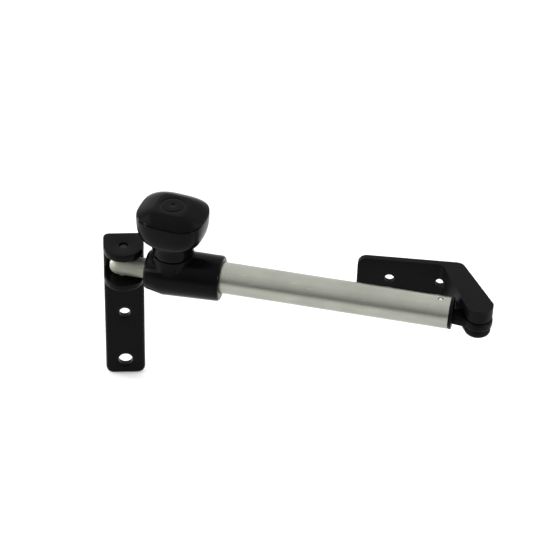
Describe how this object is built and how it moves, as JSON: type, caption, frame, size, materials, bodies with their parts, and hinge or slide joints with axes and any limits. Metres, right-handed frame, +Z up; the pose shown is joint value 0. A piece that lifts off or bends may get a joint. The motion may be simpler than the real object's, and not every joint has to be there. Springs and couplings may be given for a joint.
{
  "type": "friction stay hinge",
  "caption": "Telescoping friction stay for a top-hung or side-hung window: aluminium rod and tube, clamp knob, and pivoting black wall and window brackets.",
  "frame": {"origin": "on the wall bracket's back face, midway between its two screw holes", "axes": "+Y is the wall bracket's back normal, into the wall; +Z is up, along both pivots; +X is to the right, along the closed stay"},
  "size_m": [0.1919, 0.0671, 0.12],
  "materials": {
    "bracket_black": "moulded, slightly glossy",
    "housing_black": "moulded, slightly glossy",
    "knob_black": "moulded, glossy",
    "plug_black": "moulded, satin",
    "washer_black": "moulded, satin",
    "nylon": "moulded, natural",
    "wiper_rubber": "matt",
    "rod_aluminium": "drawn and anodised, satin",
    "tube_aluminium": "drawn and anodised, satin",
    "pin_steel": "turned",
    "bush_bronze": "sintered, dull",
    "thread_brass": "turned"
  },
  "bodies": {
    "wall": {"wall_bracket": "bracket_black", "wall_pivot_pin": "pin_steel"},
    "rod": {"inner_rod": "rod_aluminium", "rod_bush": "bush_bronze", "rod_spacer": "washer_black", "rod_guide": "nylon"},
    "tube": {"outer_tube": "tube_aluminium", "clamp_housing": "housing_black", "clamp_nut": "thread_brass", "rod_wiper": "wiper_rubber", "tube_rivet": "pin_steel", "end_plug": "plug_black", "plug_pin": "pin_steel", "plug_bush": "bush_bronze"},
    "pad": {"pressure_pad": "nylon"},
    "knob": {"knob_body": "knob_black", "knob_cap": "knob_black", "knob_insert": "thread_brass", "clamp_stud": "pin_steel"},
    "window": {"window_bracket": "bracket_black", "window_pivot_pin": "pin_steel", "window_washer": "washer_black"}
  },
  "joints": [
    {"name": "wall_pivot", "type": "hinge", "parent": "wall", "child": "rod", "pos_m": [0, -0.0099, 0.0548], "axis": [0, 0, 1], "range_deg": [-157, 9]},
    {"name": "telescope", "type": "slide", "parent": "rod", "child": "tube", "axis": [0.9617, -0.274, 0], "range_m": [0, 0.09]},
    {"name": "pad_travel", "type": "slide", "parent": "tube", "child": "pad", "axis": [0, 0, 1], "range_m": [0, 0.001]},
    {"name": "knob_turn", "type": "hinge", "parent": "pad", "child": "knob", "pos_m": [0.02472, -0.01694, 0.0548], "axis": [0, 0, 1], "range_deg": [0, 360]},
    {"name": "window_pivot", "type": "hinge", "parent": "tube", "child": "window", "pos_m": [0.17436, -0.05957, 0.0548], "axis": [0, 0, 1], "range_deg": [-110, 0]}
  ],
  "couplings": [
    {"joint": "knob_turn", "follows": "pad_travel", "rad_per_m": 6283}
  ]
}
